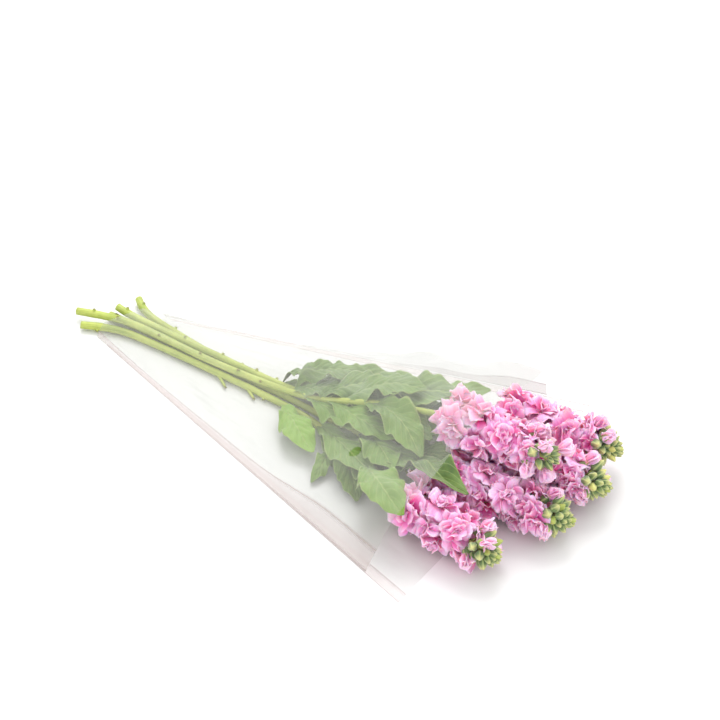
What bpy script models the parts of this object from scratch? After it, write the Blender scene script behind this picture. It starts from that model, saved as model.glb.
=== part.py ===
"""A bunch of five cut stock stems with double pink flowers, lying in a flat clear film sleeve.

The bunch lies along +X, cut ends at -X and flower heads at +X. The underside of the sleeve's lower
panel is the plane Z = 0. Lengths are written in millimetres and scaled to metres on the way in.
"""

import math
import random

import bmesh
import bpy
import numpy as np
from mathutils import Matrix, Vector

MM = 0.001
SEED = 11

# Sleeve: corners of the flat outline, film thickness and the drape of the upper panel.
NARROW_FRONT = (-280.0, -34.0)
NARROW_BACK = (-241.0, 35.0)
WIDE_FRONT = (211.0, -176.0)
WIDE_BACK = (214.0, 176.0)
FILM = 0.7
SEAM_HEIGHT = 2.4
PANEL_COLUMNS = 11
PANEL_STATIONS = 12
UPPER_END_AT_SEAM = 0.902
UPPER_END_IN_MIDDLE = 0.958
DRAPE_CLEARANCE = 1.7
AIR_HOLE = 12.0
AIR_HOLE_AT = (96.0, -84.0)
AIR_HOLE_CUT = (12.0, 160.0)

# Clearances, and the length under which a joined mesh's edges are closed up.
GAP = 0.3
SHORTEST_EDGE = 0.002
FLOOR = FILM + GAP
CUTTER_SIDES = 16

# Stalks.
STALK_BASE_RADIUS = 4.4
STALK_TOP_RADIUS = 3.3
STALK_POINTS = 13
STALK_END_GAP = 1.2
SCAR_RADII = (2.1, 1.3)
SCAR_SUNK = 1.4
TWIG_FROM = 5.0

# Heads.
HEAD_CORE_RADII = (8.0, 6.5)
FLORET_SEAT = 17.0
FLORET_SPACING = 11.4
# How much nearer the axis, more forward and smaller the last floret is than the first.
SEAT_TAPER = 0.28
FLORET_LEAN = (0.15, 0.45)
FLORET_TAPER = 0.22
CALYX_RADII = (2.6, 4.4)
# Petal layers of a floret, from the outside in: petals, radius, rise of the layer, cup of its petals.
PETAL_LAYERS = ((4, 25.0, 0.0, 1.0), (3, 16.0, 2.0, 8.0))
PETAL_HALF_THICKNESS = 1.0
PETAL_NOTCH = 0.52
PETAL_SHOULDER = 0.2
PETAL_RUFFLE = 3.5
HALF_OPEN_BUDS = 3
# Radius and length of a half-open bud.
HALF_OPEN_SIZE = (5.5, 22.0)
BUD_TIP_LENGTH = 34.0
BUD_ROOM_RADIUS = (8.0, 22.0)
BUD_ROOM_LENGTH = 60.0
BUD_CORE_RADII = (5.0, 2.5)
BUD_CORE_SHORT_BY = 12.0
BUDS_PER_HEAD = 9
BUD_RADIUS = 4.0
BUD_LENGTH = 15.0
BUD_TAPER = 0.4
GOLDEN_ANGLE = math.radians(137.5)

# Leaves: a grid of rows along the midrib and columns across it.
LEAF_ROWS = 8
LEAF_COLUMNS = 5
LEAF_THICKNESS = 0.9
LEAF_CLEARANCE = 0.5
HEIGHT_CELL = 2.0
SETTLE_TURNS = 40
LEAF_WAVE = 0.2
LEAF_WAVES = 2.1
LEAF_SWAY = 0.06
MARGIN_NOTCH = 0.13
MARGIN_NOTCHES = 2.3

# Each stem: stalk route from the cut end to the head, then the head's axis from base to tip.
STEMS = {
    "front": {
        "route": (
            (-303, -33, 6.6),
            (-255, -14, 5.3),
            (-150, -10.7, 5.1),
            (-60, -11, 5.0),
            (0, -19, 8),
            (70, -46, 18),
            (150, -78, 31),
        ),
        "axis": ((150, -78, 31), (279, -98, 27)),
    },
    "middle": {
        "route": (
            (-289, -1, 5.8),
            (-255, 0, 5.3),
            (-150, 0, 5.1),
            (-60, 0, 5.0),
            (0, -6, 9),
            (80, -18, 20),
            (165, -28, 34),
        ),
        "axis": ((165, -28, 34), (312, -12, 28)),
    },
    "outer_back": {
        "route": (
            (-280, 38, 6.5),
            (-255, 24, 5.3),
            (-200, 15, 5.2),
            (-150, 10.7, 5.1),
            (-60, 12, 5.0),
            (0, 22, 9),
            (80, 48, 20),
            (165, 76, 34),
        ),
        "axis": ((165, 76, 34), (303, 96, 38)),
    },
    "inner_back": {
        "route": (
            (-283, 6, 15.4),
            (-255, 5.3, 12.6),
            (-150, 5.3, 11.8),
            (-60, 6.4, 11.9),
            (0, 8, 18),
            (80, 16, 28),
            (175, 26, 36),
        ),
        "axis": ((175, 26, 36), (318, 50, 30)),
    },
    "top": {
        "route": (
            (-319, -20, 10),
            (-255, -5.3, 12.6),
            (-150, -5.3, 11.8),
            (-55, -2, 15.5),
            (0, -3, 29),
            (60, 0, 52),
            (140, 8, 70),
        ),
        "axis": ((140, 8, 70), (280, 6, 79)),
    },
}

# Leaves from the bottom of the pile up: stem, X of the root, tip (x, y, z), full width, arch, wave phase.
LEAVES = (
    ("front", 38, (47, -91, 3), 16, 4, 0.2),
    ("front", 30, (101, -88, 4), 29, 6, 1.1),
    ("front", -45, (29, -63, 14), 30, 8, 2.3),
    ("front", 4, (108, -70, 30), 34, 6, 1.9),
    ("front", 88, (175, -117, 48), 38, 10, 3.0),
    ("middle", 52, (129, -66, 40), 34, 8, 4.1),
    ("middle", 66, (150, -60, 44), 32, 6, 5.2),
    ("middle", 88, (214, -62, 54), 34, 4, 2.6),
    ("outer_back", -66, (-19, 40, 26), 24, 8, 1.7),
    ("outer_back", -30, (42, 68, 34), 28, 9, 5.0),
    ("outer_back", 10, (89, 84, 36), 32, 9, 2.9),
    ("outer_back", 60, (140, 96, 40), 34, 8, 3.8),
    ("inner_back", -45, (18, 47, 40), 26, 8, 0.4),
    ("inner_back", 5, (84, 62, 46), 34, 9, 1.4),
    ("inner_back", 45, (136, 56, 62), 48, 8, 2.2),
    ("top", -25, (78, -16, 36), 28, 4, 2.75),
    ("top", 5, (106, -22, 42), 31, 5, 3.05),
    ("top", 50, (146, -40, 46), 32, 8, 4.6),
    ("top", -12, (56, 46, 50), 34, 9, 2.6),
    ("top", 25, (106, 28, 72), 36, 9, 0.9),
)

# Leaf scars and short side twigs along the bare part of each stalk: X, angle round the stalk, length.
SCARS = {
    "front": ((-285, 200, 2.2), (-190, 250, 2.0), (-130, 215, 15.0), (-92, 225, 13.0), (-70, 200, 2.4)),
    "middle": ((-280, 90, 1.6),),
    "outer_back": ((-268, 60, 2.0), (-215, 30, 2.4), (-120, 20, 2.2), (-75, 30, 2.6)),
    "inner_back": ((-270, 70, 2.4), (-190, 80, 2.0), (-140, 60, 2.2), (-95, 70, 2.6)),
    "top": (
        (-300, 80, 2.6),
        (-270, 110, 2.2),
        (-215, 120, 2.2),
        (-160, 100, 2.4),
        (-110, 110, 2.4),
        (-80, 140, 2.2),
    ),
}

COLOURS = {
    "leafy_stem": ((0.36, 0.47, 0.17), 0.55),
    "florets": ((0.78, 0.25, 0.56), 0.6),
    "buds": ((0.45, 0.55, 0.22), 0.6),
    "film_sleeve": ((0.93, 0.94, 0.95), 0.12),
}


# Scene, collections and materials.


def clear_scene():
    for obj in list(bpy.data.objects):
        bpy.data.objects.remove(obj, do_unlink=True)


def new_collection(name):
    collection = bpy.data.collections.new(name)
    bpy.context.scene.collection.children.link(collection)
    return collection


def material_for(kind, name):
    colour, roughness = COLOURS[kind]
    material = bpy.data.materials.new(name)
    material.use_nodes = True
    shader = material.node_tree.nodes["Principled BSDF"]
    shader.inputs["Base Color"].default_value = (*colour, 1.0)
    shader.inputs["Roughness"].default_value = roughness
    shader.inputs["Metallic"].default_value = 0.0
    if kind == "film_sleeve":
        shader.inputs["Alpha"].default_value = 0.3
    return material


def add_mesh(bm, name, collection):
    """Store a bmesh written in millimetres as an object in metres."""
    bmesh.ops.scale(bm, vec=(MM, MM, MM), verts=bm.verts)
    bmesh.ops.recalc_face_normals(bm, faces=bm.faces)
    mesh = bpy.data.meshes.new(name)
    bm.to_mesh(mesh)
    bm.free()
    obj = bpy.data.objects.new(name, mesh)
    collection.objects.link(obj)
    return obj


def keep_largest_body(mesh):
    """Drop loose scraps and the walls of sealed hollows, leaving one closed body."""
    bm = bmesh.new()
    bm.from_mesh(mesh)
    bmesh.ops.triangulate(bm, faces=bm.faces)
    waiting = set(bm.verts)
    bodies = []
    while waiting:
        body = {waiting.pop()}
        reached = list(body)
        while reached:
            vert = reached.pop()
            for edge in vert.link_edges:
                other = edge.other_vert(vert)
                if other in waiting:
                    waiting.discard(other)
                    body.add(other)
                    reached.append(other)
        bodies.append(body)
    bodies.sort(key=len)
    loose = [vert for body in bodies[:-1] for vert in body]
    bmesh.ops.delete(bm, geom=loose, context="VERTS")
    bmesh.ops.dissolve_degenerate(bm, dist=SHORTEST_EDGE * MM, edges=bm.edges)
    bmesh.ops.triangulate(bm, faces=bm.faces)
    bm.to_mesh(mesh)
    bm.free()


def fuse(name, pieces, collection, keep=None, cut=()):
    """Join pieces to one solid, trim it to the convex cell keep, and take the cut solids away."""
    base = pieces[0]
    rest = bpy.data.collections.new(name + "_pieces")
    for piece in pieces[1:]:
        rest.objects.link(piece)
    union = base.modifiers.new("Join", "BOOLEAN")
    union.operation = "UNION"
    union.operand_type = "COLLECTION"
    union.collection = rest
    union.solver = "MANIFOLD"
    if keep:
        trim = base.modifiers.new("Trim", "BOOLEAN")
        trim.operation = "INTERSECT"
        trim.object = keep
        trim.solver = "MANIFOLD"
    for index, cutter in enumerate(cut):
        away = base.modifiers.new(f"Cut{index}", "BOOLEAN")
        away.operation = "DIFFERENCE"
        away.object = cutter
        away.solver = "MANIFOLD"
    graph = bpy.context.evaluated_depsgraph_get()
    mesh = bpy.data.meshes.new_from_object(base.evaluated_get(graph))
    keep_largest_body(mesh)
    for piece in pieces:
        bpy.data.objects.remove(piece, do_unlink=True)
    bpy.data.collections.remove(rest)
    mesh.name = name
    obj = bpy.data.objects.new(name, mesh)
    collection.objects.link(obj)
    return obj


def finish(obj, kind):
    obj.data.materials.clear()
    obj.data.materials.append(material_for(kind, obj.name))


# Measures taken from finished meshes.


def surface_points(obj, step=1.6):
    """Points in millimetres spread over every triangle of a mesh."""
    mesh = obj.data
    mesh.calc_loop_triangles()
    corners = np.array([v.co[:] for v in mesh.vertices]) / MM
    found = []
    for triangle in mesh.loop_triangles:
        a, b, c = corners[list(triangle.vertices)]
        longest = max(np.linalg.norm(b - a), np.linalg.norm(c - a), np.linalg.norm(c - b))
        count = max(1, math.ceil(longest / step))
        i, j = np.meshgrid(np.arange(count + 1), np.arange(count + 1))
        inside = i + j <= count
        u = i[inside][:, None] / count
        v = j[inside][:, None] / count
        found.append(a + (b - a) * u + (c - a) * v)
    return np.concatenate(found)


class HeightMap:
    """The highest point over each small square of the plan."""

    REACH = 360.0

    def __init__(self, points):
        size = int(2 * self.REACH / HEIGHT_CELL)
        self.top = np.full((size, size), FLOOR - LEAF_CLEARANCE)
        if len(points):
            column, row = self.cells(points)
            np.maximum.at(self.top, (column, row), points[:, 2])

    def cells(self, points):
        size = int(2 * self.REACH / HEIGHT_CELL)
        column = np.clip((points[:, 0] + self.REACH) / HEIGHT_CELL, 1, size - 2).astype(int)
        row = np.clip((points[:, 1] + self.REACH) / HEIGHT_CELL, 1, size - 2).astype(int)
        return column, row

    def under(self, points):
        """The highest point in the square under each point and in the squares round it."""
        column, row = self.cells(points)
        found = np.full(len(points), -1e3)
        for across in (-1, 0, 1):
            for along in (-1, 0, 1):
                found = np.maximum(found, self.top[column + across, row + along])
        return found


# Stalks.


def smooth_route(route, count):
    """A smooth curve through the route's points, evenly spaced in its parameter."""
    knots = np.array(route, float)
    ends = np.vstack([2 * knots[0] - knots[1], knots, 2 * knots[-1] - knots[-2]])
    spans = len(knots) - 1
    points = []
    for value in np.linspace(0, spans, count):
        index = min(int(value), spans - 1)
        t = value - index
        p0, p1, p2, p3 = ends[index : index + 4]
        bend = (2 * p0 - 5 * p1 + 4 * p2 - p3) * t * t
        twist = (3 * p1 - p0 - 3 * p2 + p3) * t**3
        points.append(0.5 * (2 * p1 + (p2 - p0) * t + bend + twist))
    return np.array(points)


def tube(name, points, radii, collection):
    curve = bpy.data.curves.new(name, "CURVE")
    curve.dimensions = "3D"
    curve.bevel_depth = MM
    curve.bevel_resolution = 2
    curve.use_fill_caps = True
    spline = curve.splines.new("POLY")
    spline.points.add(len(points) - 1)
    for point, place, radius in zip(spline.points, points, radii):
        point.co = (*(Vector(place) * MM), 1.0)
        point.radius = radius
    obj = bpy.data.objects.new(name + "_curve", curve)
    collection.objects.link(obj)
    graph = bpy.context.evaluated_depsgraph_get()
    mesh = bpy.data.meshes.new_from_object(obj.evaluated_get(graph))
    bpy.data.objects.remove(obj, do_unlink=True)
    bm = bmesh.new()
    bm.from_mesh(mesh)
    bpy.data.meshes.remove(mesh)
    bmesh.ops.remove_doubles(bm, verts=bm.verts, dist=1e-6)
    bmesh.ops.scale(bm, vec=(1 / MM, 1 / MM, 1 / MM), verts=bm.verts)
    return add_mesh(bm, name, collection)


def along_route(points, x):
    """The point of a stalk's centre line at a given X, and its direction there."""
    index = int(np.clip(np.searchsorted(points[:, 0], x), 1, len(points) - 1))
    a, b = points[index - 1], points[index]
    share = (x - a[0]) / (b[0] - a[0])
    return a + (b - a) * share, (b - a) / np.linalg.norm(b - a)


def stalk_radius(x):
    share = np.clip((x + 320) / 480, 0, 1)
    return STALK_BASE_RADIUS + (STALK_TOP_RADIUS - STALK_BASE_RADIUS) * share


def place_between(bm, verts, start, end):
    """Turn a part made along Z, from Z = 0 to 1, so that it runs from start to end."""
    start, end = Vector(start), Vector(end)
    turn = (end - start).to_track_quat("Z", "Y").to_matrix().to_4x4()
    stretch = Matrix.Diagonal((1, 1, (end - start).length, 1))
    bmesh.ops.transform(bm, matrix=Matrix.Translation(start) @ turn @ stretch, verts=verts)


def peg(name, start, end, radius_start, radius_end, sides, collection):
    """A plain tapered peg between two points."""
    bm = bmesh.new()
    made = bmesh.ops.create_cone(
        bm, cap_ends=True, cap_tris=True, segments=sides, radius1=radius_start, radius2=radius_end, depth=1.0
    )
    bmesh.ops.translate(bm, vec=(0, 0, 0.5), verts=made["verts"])
    place_between(bm, made["verts"], start, end)
    return add_mesh(bm, name, collection)


def cutter_peg(name, start, end, radius_start, radius_end, collection):
    """A round peg that only cuts, so it is never shown."""
    obj = peg(name, start, end, radius_start, radius_end, CUTTER_SIDES, collection)
    obj.hide_render = True
    obj.display_type = "WIRE"
    return obj


def stalk_pieces(stem, points, collection):
    radii = [stalk_radius(point[0]) for point in points]
    pieces = [tube("stalk_" + stem, points, radii, collection)]
    for index, (x, angle, length) in enumerate(SCARS[stem]):
        centre, direction = along_route(points, x)
        radius = stalk_radius(x)
        out = Vector((0, math.cos(math.radians(angle)), math.sin(math.radians(angle))))
        # A leaf scar stands straight out, and a twig leans along the stalk.
        out_share, along_share = (0.75, 1.1) if length > TWIG_FROM else (1.0, 0.15)
        tip = Vector(centre) + out * (radius + length * out_share) + Vector(direction) * length * along_share
        tip.z = max(tip.z, FLOOR + 2.0)
        start = Vector(centre) + out * (radius - SCAR_SUNK)
        pieces.append(peg(f"scar_{stem}_{index}", start, tip, *SCAR_RADII, 6, collection))
    return pieces


# Leaves.


def leaf_outline(u):
    """Half width along the leaf as a share of its widest, from the narrow root to the pointed tip."""
    return 0.13 + 0.87 * math.sin(math.pi * min(1.0, u * 1.02) ** 1.25) ** 0.85 if u < 0.97 else 0.1


def leaf_grid(stem_points, leaf):
    """The leaf's points in plan, with the heights that it would take with nothing under it."""
    _, root_x, tip, width, arch, phase = leaf
    root, _ = along_route(stem_points, root_x)
    root = Vector(root)
    tip = Vector(tip)
    line = tip - root
    flat = Vector((line.x, line.y, 0))
    side = Vector((-flat.y, flat.x, 0)).normalized()
    grid = np.zeros((LEAF_ROWS, LEAF_COLUMNS, 3))
    for row in range(LEAF_ROWS):
        u = row / (LEAF_ROWS - 1)
        sway = LEAF_SWAY * flat.length * math.sin(math.pi * u) * math.sin(phase * 1.7)
        middle = root + line * u + side * sway
        middle.z += arch * math.sin(math.pi * min(1.0, u * 1.1))
        half = 0.5 * width * leaf_outline(u)
        for column in range(LEAF_COLUMNS):
            v = 2 * column / (LEAF_COLUMNS - 1) - 1
            notches = 2 * math.pi * MARGIN_NOTCHES * u + phase
            ruffle = 1 + MARGIN_NOTCH * math.sin(notches + (2 if v > 0 else 0))
            point = middle + side * (v * half * (ruffle if abs(v) > 0.9 else 1.0))
            turns = 2 * math.pi * LEAF_WAVES * u + phase * 2
            wave = LEAF_WAVE * width * math.sin(turns + (1.9 if v > 0 else 0))
            swell = math.sin(math.pi * min(1.0, u * 1.05))
            point.z += swell * (wave * v * v + 0.12 * half * abs(v) - 0.25 * half * v * v)
            grid[row, column] = point
    return grid


def settle_leaf(grid, ground):
    """Lay the leaf over whatever is under it: raise points until every triangle clears the height map."""
    quads = [
        ((r, c), (r + 1, c), (r + 1, c + 1), (r, c + 1))
        for r in range(LEAF_ROWS - 1)
        for c in range(LEAF_COLUMNS - 1)
    ]
    triangles = np.array([(q[0], q[1], q[2]) for q in quads] + [(q[0], q[2], q[3]) for q in quads])
    steps = 6
    weights = np.array(
        [(i / steps, j / steps, 1 - (i + j) / steps) for i in range(steps + 1) for j in range(steps + 1 - i)]
    )
    # The root end stays in its stalk, so what is nearer to it than half a row isn't lifted.
    at_root = (triangles[:, :, 0] == 0) @ weights.T
    own = grid[:, :, 2].copy()
    lift = np.zeros_like(own)
    for turn in range(SETTLE_TURNS):
        if 0 < turn < SETTLE_TURNS // 2:
            mean = lift.copy()
            mean[1:-1] = (lift[:-2] + lift[2:]) / 2
            mean = (mean + mean.mean(axis=1, keepdims=True)) / 2
            lift[1:] += 0.5 * (mean - lift)[1:]
        grid[:, :, 2] = own + lift
        corners = grid[triangles[:, :, 0], triangles[:, :, 1]]
        spread = np.einsum("wk,tkd->twd", weights, corners)
        wanted = ground.under(spread.reshape(-1, 3)).reshape(spread.shape[:2]) + LEAF_CLEARANCE
        need = np.where(at_root > 0.5, 0.0, wanted - spread[:, :, 2])
        if need.max() <= 0:
            break
        for corners_at, lack in zip(triangles, need):
            worst = int(lack.argmax())
            if lack[worst] > 0:
                share = weights[worst] / (weights[worst] ** 2).sum()
                for (row, column), part in zip(corners_at, share):
                    if row:
                        lift[row, column] += 0.7 * lack[worst] * part + 0.01 * (part > 0)
    grid[:, :, 2] = own + lift
    return grid


def leaf_solid(name, grid, collection):
    """A thin leaf: a grid laid on the settled points, split alike on both faces."""
    bm = bmesh.new()
    made = bmesh.ops.create_grid(bm, x_segments=LEAF_COLUMNS - 1, y_segments=LEAF_ROWS - 1, size=1.0)
    for vert in made["verts"]:
        column = round((vert.co.x + 1) / 2 * (LEAF_COLUMNS - 1))
        row = round((vert.co.y + 1) / 2 * (LEAF_ROWS - 1))
        vert.co = grid[row, column]
    bmesh.ops.triangulate(bm, faces=bm.faces, quad_method="FIXED")
    lifted = bmesh.ops.extrude_face_region(bm, geom=bm.faces)
    upper = [item for item in lifted["geom"] if isinstance(item, bmesh.types.BMVert)]
    bmesh.ops.translate(bm, vec=(0, 0, LEAF_THICKNESS), verts=upper)
    return add_mesh(bm, name, collection)


# Flower heads.


def frame_along(axis):
    """Two directions square to an axis: one level, one as near upright as it can be."""
    level = Vector((0, 0, 1)).cross(axis).normalized()
    return level, axis.cross(level).normalized()


def petal_layer(name, centre, outward, spin, lobes, radius, cup, rng, collection):
    """One layer of a floret: a flat cone whose rim is drawn out to broad ruffled petals."""
    level, upright = frame_along(outward)
    count = 3 * lobes
    bm = bmesh.new()
    made = bmesh.ops.create_cone(
        bm, cap_ends=True, cap_tris=True, segments=count, radius1=1.0, radius2=0.0, depth=2.0
    )
    rim = []
    for lobe in range(lobes):
        ruffle = rng.uniform(-1, 1) * PETAL_RUFFLE
        rim.append((lobe, PETAL_NOTCH, 0.15 * cup))
        rim.append((lobe + PETAL_SHOULDER, rng.uniform(0.86, 1.0), cup + ruffle))
        rim.append((lobe + 1 - PETAL_SHOULDER, rng.uniform(0.92, 1.06), cup - ruffle))
    for vert in made["verts"]:
        x, y, z = vert.co
        if math.hypot(x, y) > 0.5:
            step = round(math.atan2(y, x) / (2 * math.pi / count)) % count
            place, reach, height = rim[step]
            turn = spin + place * 2 * math.pi / lobes
            flat = (level * math.cos(turn) + upright * math.sin(turn)) * (reach * radius)
        else:
            flat = Vector()
            height = PETAL_HALF_THICKNESS if z > 0 else -PETAL_HALF_THICKNESS
        vert.co = centre + flat + outward * height
    return add_mesh(bm, name, collection)


def floret_places(base, axis, length, rng):
    """Centres and outward directions of the florets, set round the head by the golden angle."""
    level, upright = frame_along(axis)
    places = []
    count = round(length / FLORET_SPACING)
    for index in range(count):
        share = (index + 0.5) / count
        turn = index * GOLDEN_ANGLE + 0.4
        around = level * math.cos(turn) + upright * math.sin(turn)
        seat = FLORET_SEAT * (1 - SEAT_TAPER * share)
        centre = base + axis * (6 + share * (length - 10)) + around * seat
        outward = (around + axis * (FLORET_LEAN[0] + FLORET_LEAN[1] * share)).normalized()
        places.append((centre, outward, 1 - FLORET_TAPER * share, rng.uniform(0, 2 * math.pi)))
    return places


def head_florets(stem, base, axis, length, collection, rng):
    """A slim core with double florets standing out of it all round."""
    end = base + axis * length
    pieces = [peg("core_" + stem, base, end, *HEAD_CORE_RADII, 8, collection)]
    for index, (centre, outward, size, spin) in enumerate(floret_places(base, axis, length, rng)):
        foot = base + axis * max(2.0, min(length - 2.0, (centre - base).dot(axis) - 4))
        rim = centre + outward * 1.5
        pieces.append(peg(f"calyx_{stem}_{index}", foot, rim, *CALYX_RADII, 4, collection))
        for layer, (lobes, radius, lift, cup) in enumerate(PETAL_LAYERS):
            petals = f"petals_{stem}_{index}_{layer}"
            seat = centre + outward * lift
            turn = spin + 0.7 * layer
            reach = radius * size
            pieces.append(petal_layer(petals, seat, outward, turn, lobes, reach, cup, rng, collection))
    level, upright = frame_along(axis)
    for index in range(HALF_OPEN_BUDS):
        turn = rng.uniform(0, 0.8) + index * 2 * math.pi / HALF_OPEN_BUDS
        around = level * math.cos(turn) + upright * math.sin(turn)
        direction = (around * 0.9 + axis).normalized()
        middle = base + axis * (length - 4) + around * 6 + direction * 12
        pieces.append(bud(f"half_open_{stem}_{index}", middle, direction, *HALF_OPEN_SIZE, collection))
    return pieces


def bud(name, centre, direction, radius, length, collection):
    bm = bmesh.new()
    made = bmesh.ops.create_icosphere(bm, subdivisions=1, radius=1.0)
    turn = direction.to_track_quat("Z", "Y").to_matrix().to_4x4()
    size = Matrix.Diagonal((radius, radius, length / 2, 1))
    bmesh.ops.transform(bm, matrix=Matrix.Translation(centre) @ turn @ size, verts=made["verts"])
    return add_mesh(bm, name, collection)


def head_buds(stem, base, axis, collection):
    """The unopened tip: a short core set all round with pointed buds, the smallest at its end."""
    level, upright = frame_along(axis)
    length = BUD_TIP_LENGTH - BUD_CORE_SHORT_BY
    pieces = [peg("budcore_" + stem, base, base + axis * length, *BUD_CORE_RADII, 6, collection)]
    for index in range(BUDS_PER_HEAD):
        share = index / (BUDS_PER_HEAD - 1)
        turn = index * GOLDEN_ANGLE
        around = level * math.cos(turn) + upright * math.sin(turn)
        size = 1 - BUD_TAPER * share
        direction = (around * (1.5 - 1.4 * share) + axis).normalized()
        foot = base + axis * (5 + share * (length - 6)) + around * 2.0
        middle = foot + direction * 6.5 * size
        radius, reach = BUD_RADIUS * size, BUD_LENGTH * size
        pieces.append(bud(f"bud_{stem}_{index}", middle, direction, radius, reach, collection))
    return pieces


def cell_for(stem, planes, collection):
    """The convex room that a head has between its neighbours, over the lower panel."""
    bm = bmesh.new()
    bmesh.ops.create_cube(bm, size=900.0)
    for point, normal in planes:
        whole = bm.verts[:] + bm.edges[:] + bm.faces[:]
        cut = bmesh.ops.bisect_plane(bm, geom=whole, plane_co=point, plane_no=normal, clear_outer=True)
        edges = [item for item in cut["geom_cut"] if isinstance(item, bmesh.types.BMEdge)]
        bmesh.ops.contextual_create(bm, geom=edges)
    obj = add_mesh(bm, "cell_" + stem, collection)
    obj.hide_render = True
    obj.display_type = "WIRE"
    return obj


def head_axis(stem):
    start, end = (Vector(point) for point in STEMS[stem]["axis"])
    return start, end


def neighbour_planes(stem):
    """Planes half way to each other head, and the plane just over the lower panel."""
    start, end = head_axis(stem)
    middle = (start + end) / 2
    planes = [(Vector((0, 0, FLOOR)), Vector((0, 0, -1)))]
    for other in STEMS:
        if other == stem:
            continue
        first, last = head_axis(other)
        lane = ((end - start).normalized() + (last - first).normalized()).normalized()
        away = (first + last) / 2 - middle
        away -= lane * away.dot(lane)
        distance = away.length
        away.normalize()
        planes.append((middle + away * (distance / 2 - GAP / 2), away))
    return planes


# Sleeve.


def sleeve_point(s, t, z):
    """A point of the sleeve: s runs from the narrow to the wide end, t from the front to the back seam."""
    share = (t + 1) / 2
    front = Vector(NARROW_FRONT).lerp(Vector(WIDE_FRONT), s)
    back = Vector(NARROW_BACK).lerp(Vector(WIDE_BACK), s)
    flat = front.lerp(back, share)
    return Vector((flat.x, flat.y, z))


def sleeve_measures(points):
    """The s and t of points in plan."""
    x, y = points[:, 0], points[:, 1]
    s = (x - NARROW_FRONT[0]) / (WIDE_FRONT[0] - NARROW_FRONT[0])
    share = np.full(len(points), 0.5)
    for _ in range(8):
        front_y = NARROW_FRONT[1] + (WIDE_FRONT[1] - NARROW_FRONT[1]) * s
        back_y = NARROW_BACK[1] + (WIDE_BACK[1] - NARROW_BACK[1]) * s
        share = (y - front_y) / (back_y - front_y)
        start = NARROW_FRONT[0] + (NARROW_BACK[0] - NARROW_FRONT[0]) * share
        end = WIDE_FRONT[0] + (WIDE_BACK[0] - WIDE_FRONT[0]) * share
        s = (x - start) / (end - start)
    return s, 2 * share - 1


def upper_end(t):
    return UPPER_END_AT_SEAM + (UPPER_END_IN_MIDDLE - UPPER_END_AT_SEAM) * (1 - np.abs(t) ** 3)


def hull_over(columns, heights):
    """The lowest concave line over the heights, read at the same columns."""
    kept = []
    for point in zip(columns, heights):
        while len(kept) > 1:
            (ax, az), (bx, bz) = kept[-2:]
            if (bz - az) * (point[0] - ax) <= (point[1] - az) * (bx - ax):
                kept.pop()
            else:
                break
        kept.append(point)
    return np.interp(columns, [p[0] for p in kept], [p[1] for p in kept])


def draped_heights(content):
    """Heights of the upper panel at each station and column, taut over all that lies in the sleeve."""
    s, t = sleeve_measures(content)
    along = s / upper_end(np.clip(t, -1, 1)) * (PANEL_STATIONS - 1)
    columns = np.linspace(-1, 1, PANEL_COLUMNS)
    place = (t + 1) / 2 * (PANEL_COLUMNS - 1)
    heights = np.full((PANEL_STATIONS, PANEL_COLUMNS), SEAM_HEIGHT)
    for station in range(PANEL_STATIONS):
        near = np.abs(along - station) < 1
        for column in range(1, PANEL_COLUMNS - 1):
            here = content[near & (np.abs(place - column) < 1), 2]
            if len(here):
                heights[station, column] = max(SEAM_HEIGHT, here.max() + DRAPE_CLEARANCE)
        heights[station] = hull_over(columns, heights[station])
    return heights


def build_sleeve(content, parts, cutters):
    """Two panels of film joined along the side seams, the upper one shorter, open at both ends."""
    heights = draped_heights(content)
    columns = np.linspace(-1, 1, PANEL_COLUMNS)
    lower = (-1.0, 0.0, 1.0)
    bm = bmesh.new()
    rings = []
    for station in range(PANEL_STATIONS):
        q = station / (PANEL_STATIONS - 1)
        flat = [sleeve_point(q * UPPER_END_AT_SEAM, t, 0.0) for t in lower]
        over = zip(columns[::-1], heights[station][::-1])
        draped = [sleeve_point(q * upper_end(t), t, height) for t, height in over]
        rings.append([bm.verts.new(point) for point in flat + draped])
    for ring, following in zip(rings, rings[1:]):
        for index in range(len(ring)):
            after = (index + 1) % len(ring)
            bm.faces.new((ring[index], ring[after], following[after], following[index]))
    flap = [bm.verts.new(sleeve_point(1.0, t, 0.0)) for t in lower]
    for index in range(len(lower) - 1):
        bm.faces.new((rings[-1][index], rings[-1][index + 1], flap[index + 1], flap[index]))
    bmesh.ops.triangulate(bm, faces=bm.faces)
    sleeve = add_mesh(bm, "film_sleeve", parts)
    film = sleeve.modifiers.new("Film", "SOLIDIFY")
    film.thickness = FILM * MM
    film.offset = -1
    film.use_even_offset = False
    foot, head = ((*AIR_HOLE_AT, z) for z in AIR_HOLE_CUT)
    hole = cutter_peg("air_hole", foot, head, AIR_HOLE / 2, AIR_HOLE / 2, cutters)
    punch = sleeve.modifiers.new("AirHole", "BOOLEAN")
    punch.operation = "DIFFERENCE"
    punch.object = hole
    punch.solver = "EXACT"
    return sleeve


# Assembly.


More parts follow.
